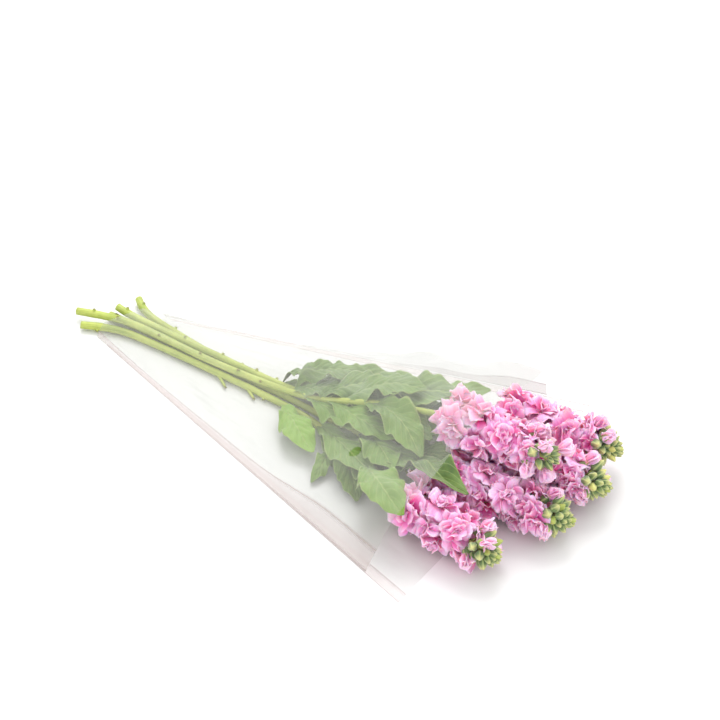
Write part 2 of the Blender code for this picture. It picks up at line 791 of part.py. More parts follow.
def build():
    clear_scene()
    parts = new_collection("sleeved_stock_bunch")
    cutters = new_collection("cutters")
    work = new_collection("work")
    rng = random.Random(SEED)
    routes = {stem: smooth_route(STEMS[stem]["route"], STALK_POINTS) for stem in STEMS}
    finished = []
    for stem, route in routes.items():
        base, tip = head_axis(stem)
        route[-1] = base - (tip - base).normalized() * STALK_END_GAP

    stalk_points = {}
    for stem, route in routes.items():
        shown = tube("trial_" + stem, route, [stalk_radius(p[0]) for p in route], work)
        stalk_points[stem] = surface_points(shown)
        bpy.data.objects.remove(shown, do_unlink=True)

    head_points = {}
    for stem in STEMS:
        base, tip = head_axis(stem)
        axis = (tip - base).normalized()
        split = (tip - base).length - BUD_TIP_LENGTH
        bud_base = base + axis * split
        room = cell_for(stem, neighbour_planes(stem), cutters)
        start = base + axis * GAP
        mouth, throat = STALK_TOP_RADIUS + 4 * GAP, STALK_TOP_RADIUS + GAP
        channel = cutter_peg("channel_" + stem, base - axis * 60, start, mouth, throat, cutters)
        bud_end = bud_base + axis * BUD_ROOM_LENGTH
        nose = cutter_peg("nose_" + stem, bud_base, bud_end, *BUD_ROOM_RADIUS, cutters)
        pieces = head_florets(stem, start, axis, split, work, rng)
        florets = fuse("florets_" + stem, pieces, parts, room, (channel, nose))
        finish(florets, "florets")
        bud_start = bud_base + axis * GAP
        narrow, wide = (radius - GAP for radius in BUD_ROOM_RADIUS)
        bud_room = cutter_peg("bud_room_" + stem, bud_start, bud_end, narrow, wide, cutters)
        buds = fuse("buds_" + stem, head_buds(stem, bud_start, axis, work), parts, bud_room)
        finish(buds, "buds")
        head_points[stem] = np.concatenate([surface_points(florets), surface_points(buds)])
        finished += [florets, buds]

    leaf_points = {stem: [] for stem in STEMS}
    leaves = {stem: [] for stem in STEMS}
    for index, leaf in enumerate(LEAVES):
        stem = leaf[0]
        others = [stalk_points[other] for other in STEMS if other != stem]
        others += [head_points[other] for other in STEMS]
        others += [cloud for other in STEMS if other != stem for cloud in leaf_points[other]]
        ground = HeightMap(np.concatenate(others))
        grid = settle_leaf(leaf_grid(routes[stem], leaf), ground)
        solid = leaf_solid(f"leaf_{stem}_{index}", grid, work)
        leaves[stem].append(solid)
        leaf_points[stem].append(surface_points(solid))

    for stem, route in routes.items():
        pieces = stalk_pieces(stem, route, work) + leaves[stem]
        leafy = fuse("leafy_stem_" + stem, pieces, parts)
        finish(leafy, "leafy_stem")
        finished.append(leafy)

    content = np.concatenate([surface_points(obj, 2.5) for obj in finished])
    sleeve = build_sleeve(content, parts, cutters)
    finish(sleeve, "film_sleeve")
    bpy.data.collections.remove(work)


build()
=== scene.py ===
"""Looks of the sleeved bunch of stock: stalks, waved leaves, double florets, furrowed buds and clear film."""

import math
import random

import bmesh
import bpy
import numpy as np
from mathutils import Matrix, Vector
from mathutils.bvhtree import BVHTree


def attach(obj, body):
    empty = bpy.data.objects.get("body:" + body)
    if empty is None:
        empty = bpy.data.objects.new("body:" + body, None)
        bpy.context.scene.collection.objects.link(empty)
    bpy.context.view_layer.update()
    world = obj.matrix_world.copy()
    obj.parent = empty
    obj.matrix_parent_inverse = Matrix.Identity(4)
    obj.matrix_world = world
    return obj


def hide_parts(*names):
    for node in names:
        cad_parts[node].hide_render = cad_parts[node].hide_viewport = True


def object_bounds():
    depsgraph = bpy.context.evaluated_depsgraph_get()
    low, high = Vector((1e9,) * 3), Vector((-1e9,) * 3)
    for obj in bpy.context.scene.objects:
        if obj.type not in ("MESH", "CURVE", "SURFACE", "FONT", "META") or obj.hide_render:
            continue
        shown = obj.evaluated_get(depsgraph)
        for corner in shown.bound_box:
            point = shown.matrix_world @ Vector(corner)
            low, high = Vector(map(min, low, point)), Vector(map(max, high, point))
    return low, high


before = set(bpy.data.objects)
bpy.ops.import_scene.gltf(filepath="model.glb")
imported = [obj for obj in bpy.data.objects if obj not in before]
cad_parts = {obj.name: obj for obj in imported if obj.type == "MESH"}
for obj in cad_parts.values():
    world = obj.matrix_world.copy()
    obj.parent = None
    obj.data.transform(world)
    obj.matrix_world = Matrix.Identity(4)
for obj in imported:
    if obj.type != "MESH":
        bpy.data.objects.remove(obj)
cad_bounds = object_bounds()

MM = 0.001
GAP = 0.3
FLOOR = 1.0
GOLDEN_ANGLE = math.radians(137.5)
DOWN = Vector((0, 0, -1))
rng = random.Random(23)

# Layout shared with the solids.

NARROW_FRONT, NARROW_BACK = (-280.0, -34.0), (-241.0, 35.0)
WIDE_FRONT, WIDE_BACK = (211.0, -176.0), (214.0, 176.0)
PANEL_COLUMNS, PANEL_STATIONS = 11, 12
UPPER_END_AT_SEAM, UPPER_END_IN_MIDDLE = 0.902, 0.958
HOLE_PLACE, HOLE_RADIUS = (96.0, -84.0), 6.0
STALK_BASE_RADIUS, STALK_TOP_RADIUS = 4.4, 3.3
STALK_POINTS = 13
STALK_END_GAP = 1.2
FLORET_SEAT = 17.0
FLORET_SPACING = 11.4
BUD_TIP_LENGTH = 34.0
LEAF_ROWS, LEAF_COLUMNS = 8, 5
LEAF_SWAY = 0.06
SOLID_NOTCH, SOLID_NOTCHES = 0.13, 2.3
SAME_PLACE = 0.05

# Fineness and small distances of the looks, in millimetres.

FILM_ROWS, FILM_COLUMNS = 89, 81
LOWER_ROWS, LOWER_COLUMNS = 60, 9
LOWER_PANEL, SEAM_TOP, FILM_LOWEST = 0.35, 2.4, 2.0
UNDER_FILM, UNDER_LEAF, LEAF_PRESSES = 0.6, 0.9, 9.0
ABOVE_ALL = 300.0
FINE_LEAF_ROWS, FINE_LEAF_COLUMNS = 57, 21
LEAF_LIFT, SMALL_LEAF_ARCH, SMALL_LEAF_LOWEST = 0.6, 4.0, 2.5
STALK_ROWS, STALK_SIDES = 90, 14
LEAF_THICKNESS, PETAL_THICKNESS = 0.45, 0.3
PETAL_MARGIN, BUD_MARGIN = 3.5, 1.5
BUD_ROWS, BUD_SIDES = 9, 16
SEPALS, FURROW_DEPTH = 4, 0.16
HEAD_NARROWS = 0.28
CALYX_LENGTH, CALYX_RADIUS = 12.5, 3.3
TIP_BUD_LENGTH, TIP_BUD_RADIUS = 15.5, 5.4
INNER_SEAT = 0.7

ROUTES = {
    "front": (
        (-303, -33, 6.6), (-255, -14, 5.3), (-150, -10.7, 5.1), (-60, -11, 5.0),
        (0, -19, 8), (70, -46, 18), (150, -78, 31),
    ),
    "middle": (
        (-289, -1, 5.8), (-255, 0, 5.3), (-150, 0, 5.1), (-60, 0, 5.0),
        (0, -6, 9), (80, -18, 20), (165, -28, 34),
    ),
    "outer_back": (
        (-280, 38, 6.5), (-255, 24, 5.3), (-200, 15, 5.2), (-150, 10.7, 5.1), (-60, 12, 5.0),
        (0, 22, 9), (80, 48, 20), (165, 76, 34),
    ),
    "inner_back": (
        (-283, 6, 15.4), (-255, 5.3, 12.6), (-150, 5.3, 11.8), (-60, 6.4, 11.9),
        (0, 8, 18), (80, 16, 28), (175, 26, 36),
    ),
    "top": (
        (-319, -20, 10), (-255, -5.3, 12.6), (-150, -5.3, 11.8), (-55, -2, 15.5),
        (0, -3, 29), (60, 0, 52), (140, 8, 70),
    ),
}
AXES = {
    "front": ((150, -78, 31), (279, -98, 27)),
    "middle": ((165, -28, 34), (312, -12, 28)),
    "outer_back": ((165, 76, 34), (303, 96, 38)),
    "inner_back": ((175, 26, 36), (318, 50, 30)),
    "top": ((140, 8, 70), (280, 6, 79)),
}
# Stem, X of the root, tip, full width, wave phase, and the leaf's tone: 0 deep green, 1 bright yellow green.
LEAVES = (
    ("front", 38, (47, -91, 3), 16, 0.2, 0.3),
    ("front", 30, (101, -88, 4), 29, 1.1, 0.1),
    ("front", -45, (29, -63, 14), 30, 2.3, 1.0),
    ("front", 4, (108, -70, 30), 34, 1.9, 0.35),
    ("front", 88, (175, -117, 48), 38, 3.0, 0.55),
    ("middle", 52, (129, -66, 40), 34, 4.1, 0.3),
    ("middle", 66, (150, -60, 44), 32, 5.2, 0.1),
    ("middle", 88, (214, -62, 54), 34, 2.6, 0.0),
    ("outer_back", -66, (-19, 40, 26), 24, 1.7, 0.15),
    ("outer_back", -30, (42, 68, 34), 28, 5.0, 0.2),
    ("outer_back", 10, (89, 84, 36), 32, 2.9, 0.0),
    ("outer_back", 60, (140, 96, 40), 34, 3.8, 0.35),
    ("inner_back", -45, (18, 47, 40), 26, 0.4, 0.15),
    ("inner_back", 5, (84, 62, 46), 34, 1.4, 0.2),
    ("inner_back", 45, (136, 56, 62), 48, 2.2, 0.1),
    ("top", -25, (78, -16, 36), 28, 2.75, 0.4),
    ("top", 5, (106, -22, 42), 31, 3.05, 0.45),
    ("top", 50, (146, -40, 46), 32, 4.6, 0.3),
    ("top", -12, (56, 46, 50), 34, 2.6, 0.1),
    ("top", 25, (106, 28, 72), 36, 0.9, 0.2),
)
# Small leaves deep in the pile, that fill the dark places between the large ones.
SMALL_LEAVES = (
    ("front", 10, (62, -60, 8), 24, 0.7, 0.1),
    ("front", 55, (135, -72, 14), 28, 2.2, 0.05),
    ("middle", 20, (88, -36, 12), 26, 4.4, 0.1),
    ("middle", 70, (156, -40, 24), 34, 1.2, 0.05),
    ("outer_back", -50, (12, 44, 8), 24, 3.3, 0.15),
    ("outer_back", 40, (118, 62, 18), 32, 0.4, 0.1),
    ("inner_back", -30, (50, 32, 22), 26, 5.1, 0.1),
    ("inner_back", 60, (146, 24, 36), 34, 2.9, 0.1),
    ("inner_back", 84, (156, 10, 46), 36, 0.9, 0.15),
    ("inner_back", 70, (138, 34, 34), 34, 2.3, 0.1),
    ("middle", 96, (168, -12, 42), 34, 3.1, 0.1),
    ("outer_back", 90, (150, 52, 34), 36, 1.4, 0.1),
    ("outer_back", -66, (2, 50, 16), 30, 2.6, 0.1),
    ("top", -44, (28, 16, 38), 30, 0.6, 0.1),
    ("top", 10, (84, 14, 40), 26, 1.8, 0.15),
    ("top", 70, (140, -14, 52), 30, 3.7, 0.1),
)
# Leaf scars and short side twigs: X, angle round the stalk, length.
SCARS = {
    "front": ((-285, 200, 2.2), (-190, 250, 2.0), (-130, 215, 15.0), (-92, 225, 13.0), (-70, 200, 2.4)),
    "middle": ((-280, 90, 1.6),),
    "outer_back": ((-268, 60, 2.0), (-215, 30, 2.4), (-120, 20, 2.2), (-75, 30, 2.6)),
    "inner_back": ((-270, 70, 2.4), (-190, 80, 2.0), (-140, 60, 2.2), (-95, 70, 2.6)),
    "top": (
        (-300, 80, 2.6), (-270, 110, 2.2), (-215, 120, 2.2),
        (-160, 100, 2.4), (-110, 110, 2.4), (-80, 140, 2.2),
    ),
}


def smooth(points, count):
    """Points read from a smooth curve through the given ones, along the first axis of the array."""
    knots = np.array(points, float)
    ends = np.concatenate([[2 * knots[0] - knots[1]], knots, [2 * knots[-1] - knots[-2]]])
    spans = len(knots) - 1
    found = []
    for value in np.linspace(0, spans, count):
        index = min(int(value), spans - 1)
        t = value - index
        a, b, c, d = ends[index : index + 4]
        bend = (2 * a - 5 * b + 4 * c - d) * t * t
        found.append(0.5 * (2 * b + (c - a) * t + bend + (3 * b - a - 3 * c + d) * t**3))
    return np.array(found)


def smooth_grid(grid, rows, columns):
    return smooth(smooth(grid, rows).transpose(1, 0, 2), columns).transpose(1, 0, 2)


def head_axis(stem):
    return tuple(Vector(point) for point in AXES[stem])


def route_of(stem):
    route = smooth(ROUTES[stem], STALK_POINTS)
    base, tip = head_axis(stem)
    route[-1] = base - (tip - base).normalized() * STALK_END_GAP
    return route


def along_route(points, x):
    index = int(np.clip(np.searchsorted(points[:, 0], x), 1, len(points) - 1))
    a, b = points[index - 1], points[index]
    share = (x - a[0]) / (b[0] - a[0])
    return a + (b - a) * share, (b - a) / np.linalg.norm(b - a)


def stalk_radius(x):
    return STALK_BASE_RADIUS + (STALK_TOP_RADIUS - STALK_BASE_RADIUS) * float(np.clip((x + 320) / 480, 0, 1))


def frame_along(axis):
    level = Vector((0, 0, 1)).cross(axis).normalized()
    return level, axis.cross(level).normalized()


def spoke(level, upright, turn):
    """A direction square to the axis that level and upright are square to."""
    return level * math.cos(turn) + upright * math.sin(turn)


# Mesh helpers.


ORDERS = {}


def patch(bm, points, tone=0.5, around=False):
    """A grid of faces laid on rows and columns of points; around joins its first and last columns."""
    rows, columns = points.shape[:2]
    grid = bmesh.ops.create_grid(bm, x_segments=columns - 1, y_segments=rows - 1, size=1.0, calc_uvs=True)
    made = grid["verts"]
    if (rows, columns) not in ORDERS:
        ORDERS[rows, columns] = [
            (round((vert.co.y + 1) / 2 * (rows - 1)), round((vert.co.x + 1) / 2 * (columns - 1)))
            for vert in made
        ]
    shade = bm.verts.layers.float["tone"]
    flat = tone if np.ndim(tone) else np.full((rows, columns), tone)
    for vert, (row, column) in zip(made, ORDERS[rows, columns]):
        vert.co = points[row, column]
        vert[shade] = flat[row, column]
    if around:
        bmesh.ops.remove_doubles(bm, verts=made, dist=1e-4)


def new_bmesh():
    bm = bmesh.new()
    bm.loops.layers.uv.new("UVMap")
    bm.verts.layers.float.new("tone")
    return bm


def finish_piece(bm, name, materials, nodes, outward=False):
    """Store a bmesh written in millimetres as a piece of the object that stands for CAD nodes."""
    if outward:
        bmesh.ops.recalc_face_normals(bm, faces=bm.faces)
    bmesh.ops.scale(bm, vec=(MM, MM, MM), verts=bm.verts)
    mesh = bpy.data.meshes.new(name)
    bm.to_mesh(mesh)
    bm.free()
    mesh.polygons.foreach_set("use_smooth", [True] * len(mesh.polygons))
    obj = bpy.data.objects.new(name, mesh)
    bpy.context.scene.collection.objects.link(obj)
    for material in materials:
        mesh.materials.append(material)
    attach(obj, "root")
    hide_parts(*nodes)
    return obj


def give_thickness(obj, thickness, under=0):
    """Thicken a sheet downwards; under counts on to the material of its underside."""
    wall = obj.modifiers.new("Thickness", "SOLIDIFY")
    wall.thickness = thickness * MM
    wall.offset = -1
    wall.material_offset = under


def swept(centres, radii, sides):
    """Rows of points round a line of centres: radii holds a value for each row, or for each row and side."""
    centres = np.array(centres, float)
    count = len(centres)
    radii = np.array(radii, float)
    if radii.ndim == 1:
        radii = np.repeat(radii[:, None], sides, axis=1)
    tangents = np.gradient(centres, axis=0)
    lengths = np.linalg.norm(tangents, axis=1, keepdims=True)
    moving = np.flatnonzero(lengths[:, 0] > 1e-6)
    nearest = [moving[np.abs(moving - index).argmin()] for index in range(count)]
    tangents = tangents[nearest] / lengths[nearest]
    helper = np.array((0.0, 0.0, 1.0)) if abs(tangents[:, 2]).max() < 0.9 else np.array((0.31, 0.95, 0.0))
    first = np.cross(helper, tangents)
    first /= np.linalg.norm(first, axis=1, keepdims=True)
    second = np.cross(tangents, first)
    turn = np.linspace(0, 2 * math.pi, sides + 1)
    radii = np.concatenate([radii, radii[:, :1]], axis=1)
    ring = np.cos(turn)[None, :, None] * first[:, None, :] + np.sin(turn)[None, :, None] * second[:, None, :]
    return centres[:, None, :] + ring * radii[:, :, None]


def stick(start, end, radius_start, radius_end, sides, rows, sag=0.0):
    """A thin round stalk between two points, with closed ends."""
    start, end = np.array(start, float), np.array(end, float)
    shares = np.linspace(0, 1, rows)
    centres = [start + (end - start) * s + np.array((0, 0, -sag)) * math.sin(math.pi * s) for s in shares]
    radii = [radius_start + (radius_end - radius_start) * s for s in shares]
    step = (centres[-1] - centres[-2]) / np.linalg.norm(centres[-1] - centres[-2])
    centres = [centres[0]] + centres + [centres[-1] + step * 0.02]
    radii = [0.0] + radii + [0.0]
    return swept(centres, radii, sides)


# Materials.


def material_with(name):
    material = bpy.data.materials.new(name)
    material.use_nodes = True
    tree = material.node_tree
    return material, tree, tree.nodes["Principled BSDF"]


def node(tree, kind, inputs=None, **settings):
    made = tree.nodes.new(kind)
    for key, value in settings.items():
        setattr(made, key, value)
    for key, value in (inputs or {}).items():
        socket = made.inputs[key]
        if isinstance(value, bpy.types.NodeSocket):
            tree.links.new(value, socket)
        else:
            socket.default_value = value
    return made


def math_node(tree, operation, first, second=0.0):
    return node(tree, "ShaderNodeMath", {0: first, 1: second}, operation=operation).outputs[0]


def mix(tree, factor, first, second):
    made = node(tree, "ShaderNodeMix", data_type="RGBA", blend_type="MIX")
    for index, value in ((0, factor), (6, first), (7, second)):
        if isinstance(value, bpy.types.NodeSocket):
            tree.links.new(value, made.inputs[index])
        else:
            made.inputs[index].default_value = value
    return made.outputs[2]


def ramp(tree, value, stops):
    made = node(tree, "ShaderNodeValToRGB", {0: value})
    elements = made.color_ramp.elements
    while len(elements) < len(stops):
        elements.new(0.5)
    for element, (place, colour) in zip(elements, stops):
        element.position = place
        element.color = colour
    return made.outputs[0]


def rgb(red, green, blue):
    """A colour of the photograph, 0 to 255, as linear light."""
    return tuple((part / 255) ** 2.2 for part in (red, green, blue)) + (1.0,)


def mottle_group():
    """Uneven tone of living tissue: broad and fine noise as one mask."""
    group = bpy.data.node_groups.new("Mottle", "ShaderNodeTree")
    group.interface.new_socket("Scale", in_out="INPUT", socket_type="NodeSocketFloat")
    group.interface.new_socket("Mask", in_out="OUTPUT", socket_type="NodeSocketFloat")
    given = group.nodes.new("NodeGroupInput")
    put = group.nodes.new("NodeGroupOutput")
    place = node(group, "ShaderNodeTexCoord").outputs["Object"]
    scale = given.outputs["Scale"]
    broad = node(group, "ShaderNodeTexNoise", {"Vector": place, "Scale": scale, "Detail": 3.0})
    fine_scale = math_node(group, "MULTIPLY", scale, 6.0)
    fine = node(group, "ShaderNodeTexNoise", {"Vector": place, "Scale": fine_scale, "Detail": 4.0})
    total = math_node(group, "ADD", broad.outputs[0], math_node(group, "MULTIPLY", fine.outputs[0], 0.5))
    wide = node(group, "ShaderNodeMapRange", {0: total, 1: 0.5, 2: 1.0, 3: 0.0, 4: 1.0})
    group.links.new(wide.outputs[0], put.inputs["Mask"])
    return group


MOTTLE = mottle_group()


def grain(tree, place, across, along, detail=3.0):
    """Noise drawn out along a piece: across and along say how often it changes each way."""
    drawn = node(tree, "ShaderNodeMapping", {"Vector": place, "Scale": (across, along, 1.0)}).outputs[0]
    return node(tree, "ShaderNodeTexNoise", {"Vector": drawn, "Scale": 1.0, "Detail": detail}).outputs[0]


def band(tree, value, start, end, low=0.0, high=1.0):
    """A value spread from low to high while the given one goes from start to end."""
    return node(tree, "ShaderNodeMapRange", {0: value, 1: start, 2: end, 3: low, 4: high}).outputs[0]


def mottle(tree, scale):
    made = node(tree, "ShaderNodeGroup", node_tree=MOTTLE)
    made.inputs["Scale"].default_value = scale
    return made.outputs["Mask"]


def tone_of(tree):
    return node(tree, "ShaderNodeAttribute", attribute_name="tone").outputs["Fac"]


def uv_of(tree):
    place = node(tree, "ShaderNodeTexCoord").outputs["UV"]
    split = node(tree, "ShaderNodeSeparateXYZ", {0: place})
    return place, split.outputs[0], split.outputs[1]


def bump(tree, shader, height, strength, distance):
    made = node(tree, "ShaderNodeBump", {"Height": height, "Strength": strength, "Distance": distance})
    tree.links.new(made.outputs[0], shader.inputs["Normal"])


def petal_material():
    material, tree, shader = material_with("petal")
    place, _, along = uv_of(tree)
    veins = grain(tree, place, 26.0, 2.2)
    # The deep magenta at the throat is painted shade of the crevices between the petals. The paling towards
    # the margin is the petal's own colour.
    throat_painted_shade, blade = (0.0, rgb(216, 10, 108)), (0.3, rgb(242, 78, 164))
    body = ramp(tree, along, (throat_painted_shade, blade, (0.7, rgb(252, 138, 198)), (1.0, rgb(255, 206, 233))))
    tone = math_node(tree, "ADD", tone_of(tree), math_node(tree, "MULTIPLY", mottle(tree, 55.0), 0.35))
    body = mix(tree, band(tree, tone, 0.35, 1.2, 0.0, 0.75), body, rgb(255, 212, 235))
    body = mix(tree, band(tree, tone, 0.0, 0.35, 0.5, 0.0), body, rgb(222, 40, 130))
    body = mix(tree, band(tree, veins, 0.45, 0.72, 0.0, 0.3), body, rgb(230, 64, 148))
    tree.links.new(body, shader.inputs["Base Color"])
    shader.inputs["Roughness"].default_value = 0.5
    shader.inputs["Sheen Weight"].default_value = 0.25
    shader.inputs["Sheen Roughness"].default_value = 0.4
    shader.inputs["Subsurface Weight"].default_value = 0.4
    shader.inputs["Subsurface Scale"].default_value = 0.006
    bump(tree, shader, veins, 0.4, 0.0006)
    return material


def leaf_material(name, under):
    material, tree, shader = material_with(name)
    _, across, along = uv_of(tree)
    off = math_node(tree, "ABSOLUTE", math_node(tree, "SUBTRACT", across, 0.5))
    rib = band(tree, off, 0.0, 0.035, 1.0, 0.0)
    slant = math_node(tree, "SUBTRACT", along, math_node(tree, "MULTIPLY", off, 0.55))
    wave = math_node(tree, "SINE", math_node(tree, "MULTIPLY", slant, 62.0))
    side = band(tree, wave, 0.86, 1.0)
    vein = math_node(tree, "MAXIMUM", rib, math_node(tree, "MULTIPLY", side, 0.5))
    mask = mottle(tree, 38.0)
    dark, light = rgb(19, 37, 8), rgb(50, 78, 20)
    if under:
        dark, light = rgb(70, 96, 44), rgb(106, 132, 62)
    bright = rgb(124, 164, 44)
    rim = band(tree, off, 0.462, 0.495)
    body = mix(tree, mask, dark, light)
    body = mix(tree, band(tree, tone_of(tree), 0.1, 1.0, 0.0, 0.85), body, bright)
    body = mix(tree, math_node(tree, "MULTIPLY", vein, 0.6), body, rgb(160, 178, 106))
    body = mix(tree, math_node(tree, "MULTIPLY", rim, 0.5), body, rgb(164, 182, 116))
    tree.links.new(body, shader.inputs["Base Color"])
    tree.links.new(band(tree, mask, 0.0, 1.0, 0.46, 0.66), shader.inputs["Roughness"])
    shader.inputs["Sheen Weight"].default_value = 0.2
    shader.inputs["Subsurface Weight"].default_value = 0.05
    shader.inputs["Subsurface Scale"].default_value = 0.003
    height = math_node(tree, "SUBTRACT", math_node(tree, "MULTIPLY", mask, 0.5), vein)
    bump(tree, shader, height if not under else math_node(tree, "MULTIPLY", height, -1.0), 0.5, 0.0008)
    return material


def stalk_material():
    material, tree, shader = material_with("stalk")
    place, _, _ = uv_of(tree)
    lines = grain(tree, place, 18.0, 9.0, 4.0)
    body = mix(tree, mottle(tree, 30.0), rgb(128, 146, 56), rgb(176, 188, 88))
    body = mix(tree, band(tree, lines, 0.4, 0.7, 0.0, 0.5), body, rgb(196, 202, 118))
    body = mix(tree, band(tree, tone_of(tree), 0.6, 1.0, 0.0, 0.85), body, rgb(112, 104, 50))
    body = mix(tree, band(tree, tone_of(tree), 0.0, 0.3, 0.8, 0.0), body, rgb(206, 208, 140))
    tree.links.new(body, shader.inputs["Base Color"])
    shader.inputs["Roughness"].default_value = 0.5
    shader.inputs["Subsurface Weight"].default_value = 0.08
    shader.inputs["Subsurface Scale"].default_value = 0.003
    bump(tree, shader, lines, 0.4, 0.0006)
    return material


def bud_material():
    """Ribbed sage sepals with pale edges and tips, and yellow green where the tone says so."""
    material, tree, shader = material_with("bud")
    place, across, along = uv_of(tree)
    mask = mottle(tree, 90.0)
    tone = tone_of(tree)
    body = mix(tree, mask, rgb(70, 96, 58), rgb(126, 148, 92))
    turn = math_node(tree, "SINE", math_node(tree, "MULTIPLY", across, 25.13))
    body = mix(tree, band(tree, turn, 0.35, 1.0, 0.0, 0.55), body, rgb(190, 204, 132))
    body = mix(tree, band(tree, along, 0.62, 0.95, 0.0, 0.75), body, rgb(218, 214, 138))
    body = mix(tree, band(tree, tone, 0.55, 0.72, 0.0, 0.85), body, rgb(166, 180, 84))
    body = mix(tree, band(tree, tone, 0.84, 0.9, 0.0, 0.9), body, rgb(214, 210, 128))
    tree.links.new(body, shader.inputs["Base Color"])
    shader.inputs["Roughness"].default_value = 0.6
    shader.inputs["Sheen Weight"].default_value = 0.3
    height = math_node(tree, "ADD", grain(tree, place, 14.0, 3.0), math_node(tree, "MULTIPLY", turn, 0.5))
    bump(tree, shader, height, 0.5, 0.0006)
    return material


def film_material():
    """Clear film: an even milky haze, denser edge on, at its welded seams and along crumpled streaks."""
    material, tree, shader = material_with("clear_film")
    place, across, _ = uv_of(tree)
    edge = math_node(tree, "ABSOLUTE", math_node(tree, "SUBTRACT", across, 0.5))
    seam = band(tree, edge, 0.458, 0.464)
    weld = math_node(tree, "MULTIPLY", seam, band(tree, edge, 0.464, 0.470, 1.0, 0.0))
    rim = math_node(tree, "MAXIMUM", weld, band(tree, edge, 0.493, 0.498))
    # Seams and rim get a pink cast: a painted reflection of the pink heads, laid over the denser weld.
    body = mix(tree, seam, FILM_TINT, SEAM_TINT_AND_PAINTED_REFLECTION)
    body = mix(tree, rim, body, RIM_TINT_AND_PAINTED_REFLECTION)
    tree.links.new(body, shader.inputs["Base Color"])
    crumple = grain(tree, place, 13.0, 4.5)
    streak = band(tree, crumple, 0.55, 0.72, 0.0, 0.1)
    shader.inputs["Roughness"].default_value = 0.2
    shader.inputs["IOR"].default_value = 1.48
    facing = node(tree, "ShaderNodeLayerWeight", {"Blend": 0.2}).outputs["Facing"]
    haze = math_node(tree, "ADD", band(tree, facing, 0.0, 1.0, FILM_HAZE, 0.4), streak)
    haze = math_node(tree, "MAXIMUM", haze, math_node(tree, "MULTIPLY", seam, 0.5))
    haze = math_node(tree, "MAXIMUM", haze, math_node(tree, "MULTIPLY", rim, 0.7))
    # Most light goes straight through clear film, so rays of shadow and of spread light hardly meet it.
    light = node(tree, "ShaderNodeLightPath")
    unseen = math_node(tree, "MAXIMUM", light.outputs["Is Shadow Ray"], light.outputs["Is Diffuse Ray"])
    clear = math_node(tree, "SUBTRACT", 1.0, math_node(tree, "MULTIPLY", unseen, 0.9))
    tree.links.new(math_node(tree, "MULTIPLY", haze, clear), shader.inputs["Alpha"])
    bump(tree, shader, crumple, 0.2, 0.002)
    return material


FILM_HAZE = 0.26
# The seam and rim tints are the film's grey with a painted pink reflection of the heads.
FILM_TINT, SEAM_TINT_AND_PAINTED_REFLECTION, RIM_TINT_AND_PAINTED_REFLECTION = rgb(160, 161, 153), rgb(178, 166, 162), rgb(150, 134, 130)
PETAL = petal_material()
LEAF_TOP = leaf_material("leaf_top", False)
LEAF_UNDER = leaf_material("leaf_under", True)
STALK = stalk_material()
BUD = bud_material()
FILM = film_material()

# Camera.

CAMERA_LENS, CAMERA_SENSOR = 120, 36
CAMERA_AZIMUTH, CAMERA_ELEVATION, CAMERA_DISTANCE = 35, 40, 2.568
CAMERA_AIM = (-0.0257, 0.0984, 0.0)

camera_data = bpy.data.cameras.new("camera")
camera_data.lens = CAMERA_LENS
camera_data.sensor_width = CAMERA_SENSOR
camera_data.clip_end = 100
camera = bpy.data.objects.new("camera", camera_data)
bpy.context.scene.collection.objects.link(camera)
azimuth, elevation = math.radians(CAMERA_AZIMUTH), math.radians(CAMERA_ELEVATION)
level_part = math.cos(elevation)
back = Vector((math.sin(azimuth) * level_part, -math.cos(azimuth) * level_part, math.sin(elevation)))
camera.location = Vector(CAMERA_AIM) + back * CAMERA_DISTANCE
camera.rotation_mode = "QUATERNION"
camera.rotation_quaternion = (-back).to_track_quat("-Z", "Y")
bpy.context.scene.camera = camera

# Film sleeve.


def cad_points(name):
    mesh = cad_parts[name].data
    points = np.empty(len(mesh.vertices) * 3)
    mesh.vertices.foreach_get("co", points)
    return points.reshape(-1, 3) / MM


def sleeve_point(s, t):
    share = (t + 1) / 2
    front = Vector(NARROW_FRONT).lerp(Vector(WIDE_FRONT), s)
    rear = Vector(NARROW_BACK).lerp(Vector(WIDE_BACK), s)
    return front.lerp(rear, share)


def upper_end(t):
    return UPPER_END_AT_SEAM + (UPPER_END_IN_MIDDLE - UPPER_END_AT_SEAM) * (1 - abs(t) ** 3)


def top_at(points, place):
    """The highest CAD vertex over a place in plan, or None."""
    near = np.abs(points[:, :2] - np.array(place)).max(axis=1) < SAME_PLACE
    return points[near, 2] if near.any() else None


def film_grid():
    """The upper panel as the solid has it, read at its own stations and columns."""
    points = cad_points("film_sleeve")
    grid = np.zeros((PANEL_STATIONS, PANEL_COLUMNS, 3))
    for station in range(PANEL_STATIONS):
        for column, t in enumerate(np.linspace(-1, 1, PANEL_COLUMNS)):
            place = sleeve_point(station / (PANEL_STATIONS - 1) * upper_end(t), t)
            heights = top_at(points, place)
            grid[station, column] = (*place, heights.max() if heights is not None else SEAM_TOP)
    return grid


def tree_of(grids):
    """A search tree over the faces of grids of points."""
    corners, faces = [], []
    for grid in grids:
        rows, columns = grid.shape[:2]
        first = len(corners)
        corners.extend(tuple(point) for point in grid.reshape(-1, 3))
        for row in range(rows - 1):
            for column in range(columns - 1):
                near = first + row * columns + column
                faces.append((near, near + columns, near + columns + 1, near + 1))
    return BVHTree.FromPolygons(corners, faces)


